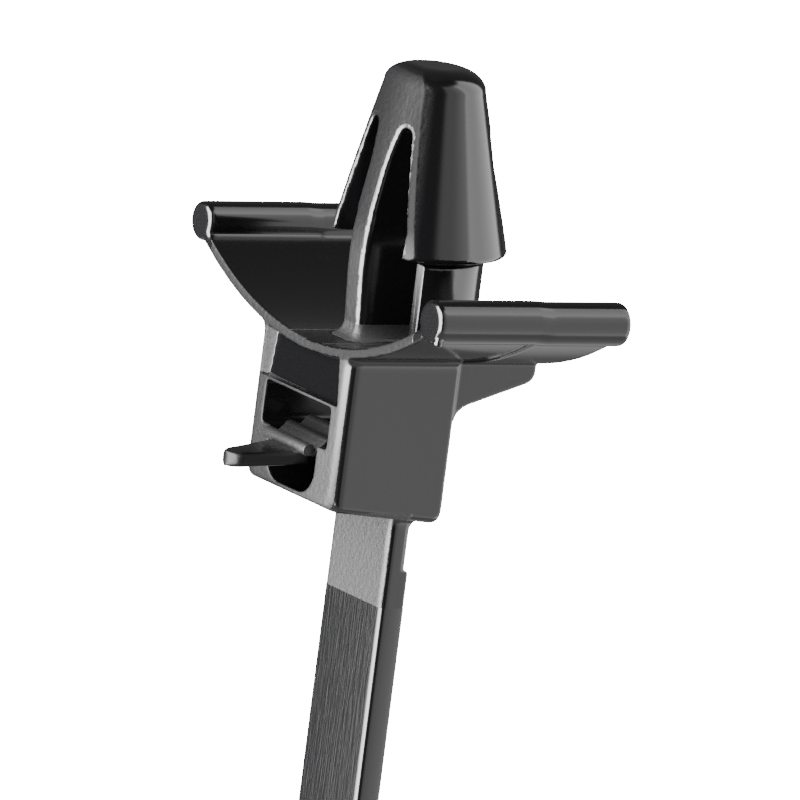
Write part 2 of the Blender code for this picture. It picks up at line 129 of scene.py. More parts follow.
# Pawl and its release tab; the arcs are each tooth's round in degrees, the first one's and the others'
PAWL_WIDTH = 3.30
PAWL_THICKNESS = 0.55
PAWL_TOOTH_RADIUS = 0.26
PAWL_NOSE_ARC = (250, -25)
PAWL_BAR_ARC = (165, -25)
PAWL_EDGE = 0.07
PAWL_TOOTH_COUNT = 3
PAWL_RISE_PER_TOOTH = 0.25
PAWL_FRONT_REACH = 0.20
PAWL_FRONT_DROP = 7.86
TAB_LENGTH = 2.90
TAB_SET_DOWN = 0.14
TAB_DROP = 0.28
TAB_EDGE = 0.22
TAB_EDGE_SHARE = 0.9
TAB_ROOT_WIDTH = 2.50
TAB_TIP_WIDTH = 1.40
TAB_THICKNESS = 0.62

# Strap
STRAP_WIDTH = 4.60
STRAP_THICKNESS = 1.12
STRAP_REAR = 0.33
STRAP_EDGE = 0.28
NECK_EDGE = 0.30
RAIL_EDGE = 0.08
STRAP_LENGTH = 160.0
NECK_LENGTH = 2.80
NECK_THICKNESS = 1.00
NECK_FILLET = 0.60
NECK_FILLET_SEAT = 0.05
NECK_SIDE_SHARE = 0.4
GRAINED_LENGTH = 4.25
TOOTH_PITCH = 1.00
TOOTH_DEPTH = 0.38
TOOTH_LAND = 0.25
RAIL_WIDTH = 0.60
TEETH_END_MARGIN = 22.0
TAIL_TAPER_LENGTH = 14.0
TAIL_TIP_WIDTH = 2.20
TAIL_THICKNESS = 0.75

# Where the named sizes put things
FRONT = -WING_LENGTH / 2
REAR = WING_LENGTH / 2
HEAD_REAR = FRONT + HEAD_DEPTH
HEAD_SIDE = HEAD_WIDTH / 2
HEAD_BOTTOM = -HEAD_BOTTOM_DEPTH
WING_FLOOR = -WING_FLOOR_DEPTH
ARC_CENTRE = WING_FLOOR + WING_ARC_RADIUS
POCKET_BOTTOM = WING_FLOOR - POCKET_LIP - POCKET_HEIGHT
SLOT_CEILING = POCKET_BOTTOM - LEDGE_THICKNESS
SLOT_FLOOR = SLOT_CEILING - SLOT_HEIGHT
PAWL_NOSE = FRONT - PAWL_FRONT_REACH
STRAP_FRONT = STRAP_REAR - STRAP_THICKNESS
NECK_REAR = STRAP_FRONT + NECK_THICKNESS
NECK_END = HEAD_BOTTOM - NECK_LENGTH
STRAP_START = HEAD_BOTTOM - GRAINED_LENGTH
STRAP_END = HEAD_BOTTOM - STRAP_LENGTH
OVERLAP = 0.20
NECK_RUN_ON = 0.80
WELD = 0.0005

# How fine the skins are, and how far the slots' rims and the beads' hollows are rounded
ROUND_STEPS = 160
SKIN_CELL = 0.062
SKIN_SMOOTHING = 4
SKIN_TRIANGLES = 190000
RIM_REACH = 0.34
RIM_FALL = 1.5
RIM_SMOOTHING = 30
RIM_REAR = -1.0
JOIN_STEP = 0.005

# The nylon's looks: roughnesses, colours, texture sizes per metre and heights in millimetres
SMOOTH_ROUGHNESS = 0.15
GRAIN_ROUGHNESS = 0.50
STREAK_ROUGHNESS = 0.45
SMOOTH_COLOUR = (0.0010, 0.0010, 0.0011, 1.0)
GRAIN_COLOUR = (0.0060, 0.0060, 0.0062, 1.0)
GRAIN_SCALE = 4800.0
GRAIN_DETAIL = 3.0
GRAIN_HEIGHT = 0.030
STREAK_SCALE = 11000.0
STREAK_DETAIL = 2.0
STREAK_STRETCH = 0.07
STREAK_HEIGHT = 0.045
SHINE = 0.5

# How grained places are and how much shine each keeps: the grain dulls it, and the levels also paint
# highlight and shade
BEAD_END_GRAIN = 0.15
RIM_GRAIN = 0.35
BAR_GRAIN = 0.65
ARROWHEAD_SHEEN = 0.17
POST_SHEEN = 0.34
FOOT_SHEEN = 0.50
WING_EDGE_SHEEN = 0.28
FAR_WALL_SHEEN = 0.30
NEAR_WALL_SHEEN = 0.70
NECK_SHEEN = 0.76
STRAP_SHEEN = 0.17
TAB_SHEEN = 0.30
# Painted shade on the near side of the arrowhead's face and of the near wall's rounded edge
NEAR_SIDE_PAINTED_SHADE = 0.5

# Where those marks fade in, from none to full, as the forward part of a face's direction; inside the head, a
# far wall whose sideways part is above RECESS_SIDE keeps its marks
FLAT_FRONT = (0.88, 0.95)
ARROWHEAD_FRONT = (0.45, 0.70)
WALL_FRONT = (0.30, 0.55)
SHEEN_FRONT = (0.30, 0.60)
RECESS_SIDE = 0.3

# Where they fade in or end, as distances in millimetres
# The width of the painted highlight line along the lit slot rims, and where the painted shade on the
# arrowhead's near side fades in
PAINTED_RIM_LINE = 0.20
NEAR_SIDE_SHADE_FADE = (0.8, 1.8)
KNEE_FADE = (-1.0, 0.6)
NECK_FADE = (-0.12, -0.03)
STRAP_FADE = (-0.03, -0.01)
BAR_FADE = (-0.35, -0.20)
TAB_FADE = (0.20, 0.30)
TAB_TIP_FADE = (-0.6, -0.3)
FOOT_MARGIN = 0.04
WING_EDGE_MARGIN = 0.05

# The photograph's view: angles in degrees, the frame is 800 pixels square
VIEW_AZIMUTH = 58.0
VIEW_ELEVATION = 11.2
VIEW_ROLL = 7.3
FRAME_PIXELS = 800
PIXELS_PER_MM = 24.6
BEAD_LEVEL = -0.81
BEAD_LEVEL_PIXEL = (410.0, 272.8)
CAMERA_DISTANCE = 1500.0
SENSOR_WIDTH = 36.0

# Studio light. Each window has its middle bearing from the camera's azimuth, half width, lowest and highest
# height and blur, all in degrees, and its strength; the first is the main light
WINDOWS = (
    (-56.0, 34.0, -30.0, 50.0, 6.0, 60.0),
    (54.0, 24.0, -40.0, 60.0, 6.0, 1.7),
    (74.0, 14.0, -40.0, 60.0, 12.0, 1.2),
    (106.0, 30.0, -40.0, 60.0, 3.0, 4.6),
)
GROUND_LIGHT = 1.2
GROUND_HEIGHTS = (-25.0, -45.0)
REAR_LIGHT = 0.11
REAR_BEARINGS = (125.0, 155.0)
ROOM_LIGHT = 0.055
BACKDROP = 22.0

# The floor: its half width in metres and its gap below the strap's tip in millimetres
FLOOR_REACH = 6.0
FLOOR_GAP = 2.0
FLOOR_BRIGHTNESS = 0.9
FLOOR_ROUGHNESS = 0.8


def add_object(name, bm):
    """Puts a mesh into the scene as it is."""
    mesh = bpy.data.meshes.new(name)
    bm.to_mesh(mesh)
    bm.free()
    obj = bpy.data.objects.new(name, mesh)
    bpy.context.scene.collection.objects.link(obj)
    return obj


def add_mesh(name, bm):
    """Puts a mesh into the scene with its faces turned outwards."""
    bmesh.ops.recalc_face_normals(bm, faces=bm.faces)
    return add_object(name, bm)


def prism(name, outline, axis, low, high):
    """Extrudes a flat outline along x, y or z; the outline gives the other two coordinates in order."""
    place = {
        "x": lambda a, b, c: Vector((c, a, b)),
        "y": lambda a, b, c: Vector((a, c, b)),
        "z": lambda a, b, c: Vector((a, b, c)),
    }[axis]
    return loft(name, [[place(a, b, level) for a, b in outline] for level in (low, high)])


def loft(name, rings):
    """Skins a closed solid through rings that have the same number of points."""
    bm = bmesh.new()
    loops = [[bm.verts.new(point) for point in ring] for ring in rings]
    count = len(loops[0])
    for lower, upper in zip(loops, loops[1:]):
        for i in range(count):
            j = (i + 1) % count
            bm.faces.new((lower[i], lower[j], upper[j], upper[i]))
    bm.faces.new(loops[0])
    bm.faces.new(loops[-1])
    return add_mesh(name, bm)


def turned(name, profile):
    """Spins a profile of (radius, height) points, which starts and ends on the axis, about z."""
    bm = bmesh.new()
    points = [bm.verts.new((radius, 0.0, height)) for radius, height in profile]
    edges = [bm.edges.new(pair) for pair in zip(points, points[1:])]
    shape = points + edges
    bmesh.ops.spin(bm, geom=shape, cent=(0, 0, 0), axis=(0, 0, 1), angle=2 * math.pi, steps=ROUND_STEPS)
    bmesh.ops.remove_doubles(bm, verts=bm.verts, dist=WELD)
    return add_mesh(name, bm)


def baked(obj):
    """Turns an object's live modifiers into its plain mesh."""
    depsgraph = bpy.context.evaluated_depsgraph_get()
    mesh = bpy.data.meshes.new_from_object(obj.evaluated_get(depsgraph))
    obj.modifiers.clear()
    old = obj.data
    obj.data = mesh
    bpy.data.meshes.remove(old)
    return obj


def cut(body, tool, operation="DIFFERENCE"):
    """Cuts a tool out of a body, or keeps only what both share, and removes the tool."""
    modifier = body.modifiers.new("cut", "BOOLEAN")
    modifier.operation = operation
    modifier.solver = "EXACT"
    modifier.object = tool
    baked(body)
    bpy.data.objects.remove(tool, do_unlink=True)
    return body


def rounded(obj, width, segments, degrees):
    """Rounds the edges where faces meet at more than an angle."""
    rounding = obj.modifiers.new("rounding", "BEVEL")
    rounding.width = width
    rounding.segments = segments
    rounding.limit_method = "ANGLE"
    rounding.angle_limit = math.radians(degrees)
    return baked(obj)


def arc(centre, radius, start, end, steps):
    """Points of a circular arc, angles in degrees."""
    points = []
    for i in range(steps + 1):
        angle = math.radians(start + (end - start) * i / steps)
        points.append((centre[0] + radius * math.cos(angle), centre[1] + radius * math.sin(angle)))
    return points


def blend(start, corner, end, steps=10):
    """Points of a curve that leaves start and reaches end along the two lines that meet in corner."""
    points = []
    for i in range(steps + 1):
        t = i / steps
        shares = ((1 - t) ** 2, 2 * t * (1 - t), t * t)
        points.append(tuple(sum(w * p[k] for w, p in zip(shares, (start, corner, end))) for k in (0, 1)))
    return points


def rounded_box(left, right, low, high, corner, steps=8):
    """Points of a rectangle with rounded corners."""
    corners = (
        ((right - corner, low + corner), -90, 0),
        ((right - corner, high - corner), 0, 90),
        ((left + corner, high - corner), 90, 180),
        ((left + corner, low + corner), 180, 270),
    )
    return [point for centre, start, end in corners for point in arc(centre, corner, start, end, steps)]


def mirrored(right):
    """Closes a right-hand outline with its mirror image."""
    return right + [(-x, z) for x, z in reversed(right)]


def cone_radius(height):
    """Radius of the arrowhead's cone at a height."""
    share = (CONE_TOP_HEIGHT - height) / (CONE_TOP_HEIGHT - BARB_BOTTOM)
    return CONE_TOP_RADIUS + share * (CONE_RIM_RADIUS - CONE_TOP_RADIUS)


def floor_at(x, drop=0.0):
    """Height of the wing's upper surface, or of a surface a given thickness below it."""
    radius = WING_ARC_RADIUS + drop
    return ARC_CENTRE - math.sqrt(radius * radius - x * x)


def face_depth(height):
    """Depth of the slanting front face, which runs straight from the nose down to the post's knee."""
    share = (CONE_TOP_HEIGHT - height) / (CONE_TOP_HEIGHT - POST_KNEE_HEIGHT)
    return FACE_TOP_DEPTH + share * (POST_KNEE_DEPTH - FACE_TOP_DEPTH)


def make_cone():
    """The arrowhead's turned body, with its crowned front face and the barbs' two slots."""
    rise = NOSE_HEIGHT - CONE_TOP_HEIGHT
    reach = CONE_TOP_RADIUS - NOSE_FLAT_RADIUS
    profile = [(0.0, NOSE_HEIGHT)]
    for i in range(19):
        angle = math.radians(90 - 5 * i)
        profile.append((NOSE_FLAT_RADIUS + reach * math.cos(angle), CONE_TOP_HEIGHT + rise * math.sin(angle)))
    rim_top = BARB_BOTTOM + BARB_RIM_ROUND
    profile += arc((cone_radius(rim_top) - BARB_RIM_ROUND, rim_top), BARB_RIM_ROUND, 0, -90, 8)
    profile.append((0.0, BARB_BOTTOM))
    cone = turned("cone", profile)
    rings = []
    stations = [(BARB_BOTTOM - OVERLAP, face_depth(BARB_BOTTOM - OVERLAP)), (CONE_TOP_HEIGHT, FACE_TOP_DEPTH)]
    for i in range(1, 17):
        angle = math.radians(5 * i)
        drawn_in = NOSE_FRONT_ROUND * (1 - math.cos(angle))
        stations.append((CONE_TOP_HEIGHT + rise * math.sin(angle), FACE_TOP_DEPTH - drawn_in))
    stations.append((NOSE_HEIGHT + OVERLAP, FACE_TOP_DEPTH - NOSE_FRONT_ROUND))
    for height, depth in stations:
        centre = FACE_CROWN_RADIUS - depth
        circle = arc((0.0, centre), FACE_CROWN_RADIUS, 0, 360, 2 * ROUND_STEPS)[:-1]
        rings.append([Vector((x, y, height)) for x, y in circle])
    cut(cone, loft("crown", rings), "INTERSECT")
    for side in (-1, 1):
        cut(cone, make_slot_cutter(side))
    arch = SLOT_TOP - SLOT_TOP_WIDTH / 2
    below = BARB_BOTTOM - OVERLAP
    front_top = POST_KNEE_HEIGHT + POST_KNEE_REACH
    relief = [(-CONE_RIM_RADIUS, below), (CONE_RIM_RADIUS, below), (CONE_RIM_RADIUS, arch), (0.0, arch)]
    relief += [(0.0, front_top), (-CONE_RIM_RADIUS, front_top)]
    half = POST_WIDTH / 2 + OVERLAP
    cut(cone, prism("relief_cutter", relief, "x", -half, half))
    return cone


def make_slot_cutter(side):
    """One arched slot, which widens downwards and towards the front and narrows at the post's root."""
    inner = POST_WIDTH / 2
    root = POST_ROOT_WIDTH / 2
    below = BARB_BOTTOM - OVERLAP
    arch = SLOT_TOP_WIDTH / 2
    top = SLOT_TOP - arch
    rings = []
    for y, gap in ((-CONE_RIM_RADIUS, BARB_FRONT_GAP), (CONE_RIM_RADIUS, BARB_REAR_GAP)):
        outline = [(inner, below), (inner + gap, below)]
        outline += arc((root + arch, top), arch, 0, 180, 16)
        flare_end = (inner, top - SLOT_FLARE_HEIGHT)
        outline += blend((root, top), (inner, top - SLOT_FLARE_HEIGHT / 2), flare_end)[1:]
        rings.append([Vector((side * x, y, z)) for x, z in outline])
    return loft("slot_cutter", rings)


def make_post():
    """The post: a tapered blade that starts inside the arrowhead and flares into the wing floor."""
    top = SLOT_TOP + OVERLAP
    seated = POST_WIDTH ** 2 / (8 * FACE_CROWN_RADIUS)
    stations = []
    for i in range(13):
        angle = math.radians(90 * i / 12)
        height = WING_FLOOR - POST_FOOT_SEAT + POST_FOOT_FLARE * (1 - math.cos(angle))
        stations.append((height, POST_FOOT_FLARE * (1 - math.sin(angle)), POST_FOOT_DEPTH))
    stations.insert(0, (WING_FLOOR - WING_FRONT_THICKNESS / 2, POST_FOOT_FLARE, POST_FOOT_DEPTH))
    foot_end = (POST_FOOT_DEPTH, WING_FLOOR + POST_FOOT_FLARE)
    knee = (POST_KNEE_DEPTH, POST_KNEE_HEIGHT)
    low = tuple(k + (f - k) * 0.5 for k, f in zip(knee, foot_end))
    bend_top = POST_KNEE_HEIGHT + POST_KNEE_REACH
    high = (face_depth(bend_top) - seated, bend_top)
    stations += [(height, 0.0, depth) for depth, height in blend(low, knee, high, 12)]
    stations.append((top, 0.0, face_depth(top) - seated))
    rings = []
    for height, spread, depth in stations:
        half_width = POST_WIDTH / 2 + spread
        half_depth = depth + spread
        corner = POST_EDGE + spread
        ring = rounded_box(-half_width, half_width, -half_depth, half_depth, corner)
        rings.append([Vector((x, y, height)) for x, y in ring])
    return loft("post", rings)


def make_collar():
    """The centring collar: an open ring round the post."""
    foot = WING_FLOOR - WING_FRONT_THICKNESS / 2
    inner = COLLAR_RADIUS - COLLAR_WALL
    rounds = arc((COLLAR_RADIUS - COLLAR_EDGE, COLLAR_TOP - COLLAR_EDGE), COLLAR_EDGE, 90, 0, 6)
    collar = turned("collar", [(0.0, COLLAR_TOP)] + rounds + [(COLLAR_RADIUS, foot), (0.0, foot)])
    above = COLLAR_TOP + OVERLAP
    cut(collar, turned("hollow", [(0.0, above), (inner, above), (inner, WING_FLOOR), (0.0, WING_FLOOR)]))
    wide = COLLAR_RADIUS + OVERLAP
    front = [(-wide, -wide), (wide, -wide), (wide, -COLLAR_FRONT), (-wide, -COLLAR_FRONT)]
    cut(collar, prism("collar_front", front, "z", foot - OVERLAP, above))
    return collar


def make_wing_plate(thickness, front, rear, steps=120):
    """One thickness of the sprung plate, which ends inside the beads."""
    reach = BEAD_SPACING / 2 - BEAD_RADIUS / 2
    xs = [reach * (2 * i / steps - 1) for i in range(steps + 1)]
    outline = [(x, floor_at(x)) for x in xs] + [(x, floor_at(x, thickness)) for x in reversed(xs)]
    return prism("plate", outline, "y", front, rear)


def make_bead(side, steps=64):
    """A wing's bead, with rounded ends: its rear hangs a little lower, and the far one is thinner."""
    bead_radius, level = BEAD_RADIUS, BEAD_CENTRE_DEPTH
    if side < 0:
        bead_radius, level = FAR_BEAD_RADIUS, FAR_BEAD_RADIUS
    rounds = []
    for i in range(7):
        angle = math.radians(15 * i)
        back = BEAD_END_ROUND * (1 - math.cos(angle))
        rounds.append((back, bead_radius - BEAD_END_ROUND * (1 - math.sin(angle))))
    stations = [(FRONT + back, radius, 0.0) for back, radius in rounds]
    stations += [(HEAD_REAR - BEAD_STEP_LENGTH, bead_radius, 0.0), (HEAD_REAR, bead_radius, BEAD_REAR_SAG)]
    stations += [(REAR - back, radius, BEAD_REAR_SAG) for back, radius in reversed(rounds)]
    rings = []
    for y, radius, sag in stations:
        circle = arc((side * BEAD_SPACING / 2, -level - sag), radius, 0, 360, steps)[:-1]
        rings.append([Vector((x, y, z)) for x, z in circle])
    return loft("bead", rings)


def make_gate_mark():
    """The small nub that the gate left under the near bead's front end."""
    bm = bmesh.new()
    centre = (BEAD_SPACING / 2 + GATE_MARK_OUT, FRONT + GATE_MARK_BACK, -BEAD_CENTRE_DEPTH - GATE_MARK_DROP)
    place = Matrix.Translation(centre)
    bmesh.ops.create_uvsphere(bm, u_segments=24, v_segments=16, radius=GATE_MARK_RADIUS, matrix=place)
    return add_mesh("gate_mark", bm)


def make_head():
    """The ratchet head: a block that flares into the wings, with its pocket, strap passage and cavity."""
    reach = HEAD_SIDE + HEAD_WING_FILLET
    half_wing = WING_FRONT_THICKNESS / 2
    under = floor_at(HEAD_SIDE, WING_FRONT_THICKNESS)
    wing_end = (reach, floor_at(reach, WING_FRONT_THICKNESS))
    rings = []
    for y, inset, drop in head_stations():
        edge = HEAD_BOTTOM_EDGE + inset
        bottom = HEAD_BOTTOM + inset * 0.5
        side = HEAD_SIDE - inset
        right = [(side - edge, bottom - drop)]
        right += [(x, z - drop) for x, z in arc((side - edge, bottom + edge), edge, -75, 0, 6)]
        fillet = blend((HEAD_SIDE, under - HEAD_WING_FILLET), (HEAD_SIDE, under), wing_end)
        right += [(x - inset, z) for x, z in fillet]
        tops = [reach - inset] + [side * (1 - i / 8) for i in range(8)]
        right += [(x, floor_at(x, half_wing)) for x in tops]
        rings.append([Vector((x, y, z)) for x, z in mirrored(right)])
    head = loft("head", rings)
    in_front = FRONT - OVERLAP
    cut(head, make_pocket_cutter())
    half_slot = STRAP_WIDTH / 2 + SLOT_SIDE_CLEARANCE
    passage = rounded_box(-half_slot, half_slot, SLOT_FLOOR, SLOT_CEILING, SLOT_CORNER, 4)
    cut(head, prism("passage", passage, "y", in_front, HEAD_REAR + OVERLAP))
    half = CAVITY_WIDTH / 2
    low = HEAD_BOTTOM + FLOOR_THICKNESS
    bowl = arc((half - CAVITY_CORNER, low + CAVITY_CORNER), CAVITY_CORNER, -90, 0, 12)
    cavity = mirrored(bowl + [(half, SLOT_FLOOR + OVERLAP)])
    cut(head, prism("cavity", cavity, "y", in_front, STRAP_FRONT - FLOOR_THICKNESS))
    return head


def head_stations():
    """The head's depth stations as (y, inset, drop), which round its upright edges and rear bottom corner."""
    stations = []
    for i in range(7):
        angle = math.radians(90 - 15 * i)
        y = FRONT + HEAD_EDGE * (1 - math.sin(angle))
        stations.append((y, HEAD_EDGE * (1 - math.cos(angle)), 0.0))
    stations.sort()
    rear = HEAD_REAR - HEAD_REAR_SETBACK
    for i in range(13):
        angle = math.radians(7.5 * i)
        y = rear - HEAD_REAR_ROUND * (1 - math.sin(angle))
        past = max(0.0, y - rear + HEAD_REAR_EDGE) / HEAD_REAR_EDGE
        inset = HEAD_REAR_EDGE * (1 - math.sqrt(max(0.0, 1 - past * past)))
        stations.append((y, inset, HEAD_REAR_ROUND * (1 - math.cos(angle))))
    return [(y, inset, HEAD_REAR_DROP * (y - FRONT) / HEAD_DEPTH - lift) for y, inset, lift in stations]


def make_pocket_cutter():
    """The shallow panel over the strap passage: its top follows the wing and its sides spread downwards."""
    top = POCKET_TOP_WIDTH / 2
    bottom = POCKET_BOTTOM_WIDTH / 2
    xs = [top * (1 - i / 8) for i in range(9)]
    right = [(bottom, POCKET_BOTTOM)]
    right += [(x, floor_at(x) - POCKET_LIP) for x in xs]
    spread = POCKET_CHAMFER * (POCKET_RECESS + OVERLAP) / POCKET_RECESS
    rings = []
    for y, shift in ((FRONT + POCKET_RECESS, 0.0), (FRONT - OVERLAP, spread)):
        outline = right + [(-x - shift, z) for x, z in reversed(right[:-1])]
        rings.append([Vector((x, y, z)) for x, z in outline])
    return loft("pocket", rings)


def make_pawl():
    """The sprung pawl and its release tab: rounded teeth on a ramp that rises to its root in the head."""
    pitch = TOOTH_PITCH * math.cos(math.asin(PAWL_RISE_PER_TOOTH / TOOTH_PITCH))
    crests = []
    for i in range(PAWL_TOOTH_COUNT):
        crests.append((PAWL_NOSE + i * pitch, -PAWL_FRONT_DROP + i * PAWL_RISE_PER_TOOTH))
    upper = []
    for i, crest in enumerate(crests):
        start, end = PAWL_BAR_ARC if i else PAWL_NOSE_ARC
        upper += arc(crest, PAWL_TOOTH_RADIUS, start, end, 14)
    root = (STRAP_FRONT, crests[-1][1] - PAWL_TOOTH_RADIUS)
    lower_rear = (STRAP_FRONT, root[1] - 2 * PAWL_THICKNESS)
    lower = (crests[-1][0], crests[-1][1] - PAWL_THICKNESS - PAWL_TOOTH_RADIUS)
    outline = upper + [root, lower_rear, lower]
    pawl = prism("pawl_body", outline, "x", -PAWL_WIDTH / 2, PAWL_WIDTH / 2)
    rounded(pawl, PAWL_EDGE, segments=4, degrees=60)
    pawl = joined("pawl", [pawl, make_tab(crests[0])])
    pawl.data.shade_smooth()
    pawl.data.set_sharp_from_angle(angle=math.radians(50))
    mark_surface(pawl, pawl_grain, nowhere, pawl_sheen)
    return pawl


def make_tab(crest):
    """The release tab: a tongue that runs out and down from under the pawl's nose to a rounded tip."""
    y0, z0 = crest
    tip = TAB_TIP_WIDTH / 2
    straight = TAB_LENGTH - tip
    stations = [(-PAWL_TOOTH_RADIUS, TAB_ROOT_WIDTH / 2), (straight, tip)]
    for degrees in range(6, 85, 6):
        angle = math.radians(degrees)
        stations.append((straight + tip * math.sin(angle), tip * math.cos(angle)))
    rings = []
    for reach, half_width in stations:
        top = z0 - TAB_SET_DOWN - TAB_DROP * reach / TAB_LENGTH
        edge = min(TAB_EDGE, half_width * TAB_EDGE_SHARE)
        section = rounded_box(-half_width, half_width, top - TAB_THICKNESS, top, edge)
        rings.append([Vector((x, y0 - reach, z)) for x, z in section])
    return loft("tab", rings)


def make_gusset(side):
    """One rib that carries the wing's rear half from the head's rear wall."""
    outer = side * (HEAD_SIDE - GUSSET_INSET)
    inner = outer - side * GUSSET_THICKNESS
    deep = floor_at(HEAD_SIDE, WING_REAR_THICKNESS)
    top = floor_at(HEAD_SIDE, WING_REAR_THICKNESS / 2)
    tip = deep - GUSSET_TIP_HEIGHT
    root = deep - GUSSET_ROOT_HEIGHT
    back = REAR - OVERLAP / 4
    outline = [(HEAD_REAR - OVERLAP, top), (back, top)]
    outline += arc((back - GUSSET_TIP_ROUND, tip + GUSSET_TIP_ROUND), GUSSET_TIP_ROUND, 0, -75, 8)
    curve = (HEAD_REAR + GUSSET_CURVE_RUN, root + GUSSET_CURVE_RISE)
    outline += blend(curve, (HEAD_REAR, root), (HEAD_REAR, root - GUSSET_TIP_ROUND), 8)
    outline += [(HEAD_REAR - OVERLAP, root - GUSSET_TIP_ROUND)]
    return prism("gusset", outline, "x", min(outer, inner), max(outer, inner))


def make_neck():
    """The strap's first stretch, which flares into the head's underside, and the start of its track."""
    rings = [(HEAD_BOTTOM + FLOOR_THICKNESS, NECK_FILLET)]
    for i in range(9):
        angle = math.radians(90 * i / 8)
        below = HEAD_REAR_DROP - NECK_FILLET_SEAT + NECK_FILLET * (1 - math.cos(angle))
        rings.append((HEAD_BOTTOM - below, NECK_FILLET * (1 - math.sin(angle))))
    rings.append((NECK_END, 0.0))
    loops = []
    for z, spread in rings:
        half = STRAP_WIDTH / 2 + spread * NECK_SIDE_SHARE
        section = rounded_box(-half, half, STRAP_FRONT, NECK_REAR + spread, NECK_EDGE, 8)
        loops.append([Vector((x, y, z)) for x, y in section])
    below = STRAP_START - NECK_RUN_ON
    track = prism("track", track_section(NECK_EDGE), "z", below, NECK_END + RAIL_EDGE)
    return [loft("neck", loops), track, make_tooth(STRAP_START + TOOTH_PITCH)]


def track_section(edge):
    """The toothed strap's section: rounded front edges, two rails and a low track between them."""
    half = STRAP_WIDTH / 2
    inner = half - RAIL_WIDTH
    bottom = STRAP_REAR - TOOTH_DEPTH
    right = arc((half - edge, STRAP_FRONT + edge), edge, -90, 0, 8)
    right += arc((half - RAIL_EDGE, STRAP_REAR - RAIL_EDGE), RAIL_EDGE, 0, 90, 4)
    right += arc((inner + RAIL_EDGE, STRAP_REAR - RAIL_EDGE), RAIL_EDGE, 90, 180, 4)
    right += [(inner, bottom)]
    return mirrored(right)


def make_tooth(top):
    """One saw tooth across the track: a narrow land with a steep face below it and a long ramp above."""
    bottom = STRAP_REAR - TOOTH_DEPTH
    crest = STRAP_REAR - TOOTH_DEPTH / 6
    sunk = bottom - OVERLAP / 2
    half = STRAP_WIDTH / 2 - RAIL_WIDTH + OVERLAP / 2
    foot = top - TOOTH_LAND - TOOTH_DEPTH / 4
    outline = [(sunk, foot + TOOTH_PITCH), (bottom, foot + TOOTH_PITCH), (crest, top)]
    outline += [(crest, top - TOOTH_LAND), (bottom, foot), (sunk, foot)]
    return prism("tooth", outline, "x", -half, half)


def joined(name, pieces):
    """One object from the meshes of several, which may overlap."""
    bm = bmesh.new()
    for piece in pieces:
        bm.from_mesh(piece.data)
        bpy.data.objects.remove(piece, do_unlink=True)
    return add_object(name, bm)


def moulded(obj, cell, smoothing, triangles):
    """Fuses overlapping solids into one skin with softly rounded edges, as a moulding has."""
    fuse = obj.modifiers.new("fuse", "REMESH")
    fuse.mode = "VOXEL"
    fuse.voxel_size = cell
    soften = obj.modifiers.new("soften", "SMOOTH")
    soften.factor = 0.5
    soften.iterations = smoothing
    baked(obj)
    soften_rims(obj)
    count = sum(len(polygon.vertices) - 2 for polygon in obj.data.polygons)
    if count > triangles:
        thin = obj.modifiers.new("thin", "DECIMATE")
        thin.ratio = triangles / count
        baked(obj)
    return obj


def slot_rim_points():
    """Points along both slots' rims, where they break through the arrowhead's front face."""
    inner = POST_WIDTH / 2
    root = POST_ROOT_WIDTH / 2
    arch = SLOT_TOP_WIDTH / 2
    top = SLOT_TOP - arch
    low = BARB_BOTTOM - OVERLAP
    flare_end = (inner, top - SLOT_FLARE_HEIGHT)
    outline = blend((inner, WING_FLOOR + POST_FOOT_FLARE), (inner, 0.0), flare_end, 80)
    outline += blend(flare_end, (inner, top - SLOT_FLARE_HEIGHT / 2), (root, top), 30)
    outline += arc((root + arch, top), arch, 180, 0, 20)
    for i in range(90):
        z = top + (BARB_BOTTOM - top) * i / 89
        share = (CONE_RIM_RADIUS - face_depth(z)) / (2 * CONE_RIM_RADIUS)
        gap = BARB_FRONT_GAP + share * (BARB_REAR_GAP - BARB_FRONT_GAP)
        edge = root + 2 * arch + (inner + gap - root - 2 * arch) * (top - z) / (top - low)
        outline.append((edge, z))
    points = []
    for x, z in outline:
        depth = face_depth(max(z, POST_KNEE_HEIGHT))
        if z < POST_KNEE_HEIGHT:
            share = (POST_KNEE_HEIGHT - z) / (POST_KNEE_HEIGHT - WING_FLOOR - POST_FOOT_FLARE)
            depth = POST_KNEE_DEPTH + share * (POST_FOOT_DEPTH - POST_KNEE_DEPTH)
        y = FACE_CROWN_RADIUS - math.sqrt(FACE_CROWN_RADIUS ** 2 - x * x) - depth
        if x > root and z > BARB_BOTTOM:
            y = max(y, -math.sqrt(cone_radius(z) ** 2 - x * x))
        points += [Vector((side * x, y, z)) for side in (-1, 1)]
    return points


def rim_tree():
    """The slots' rims as a tree that finds the nearest of their points."""
    points = slot_rim_points()
    tree = KDTree(len(points))
    for i, point in enumerate(points):
        tree.insert(point, i)
    tree.balance()
    return tree


def bead_join():
    """Where the wing's upper surface meets its bead, as (x, z)."""
    x = BEAD_SPACING / 2
    while math.hypot(BEAD_SPACING / 2 - x, floor_at(x) + BEAD_CENTRE_DEPTH) < BEAD_RADIUS:
        x -= JOIN_STEP
    return x, floor_at(x)


def soften_rims(obj):
    """Rounds the slots' rims further, and the hollow between each wing and its bead."""
    join_x, join_z = bead_join()
    group = obj.vertex_groups.new(name="rims")
    for vertex in obj.data.vertices:
        x, y, z = vertex.co
        if abs(x) > CONE_RIM_RADIUS + RIM_REACH:
            away = math.hypot(abs(x) - join_x, z - join_z)
        elif y > RIM_REAR or z > SLOT_TOP + RIM_REACH or z < WING_FLOOR:
            continue
        else:
            away = RIM_TREE.find(vertex.co)[2]
        if away < RIM_REACH:
            group.add([vertex.index], min(1.0, RIM_FALL * (1 - away / RIM_REACH)), "REPLACE")
    rims = obj.modifiers.new("rims", "SMOOTH")
    rims.vertex_group = group.name
    rims.factor = 0.5
    rims.iterations = RIM_SMOOTHING
    baked(obj)


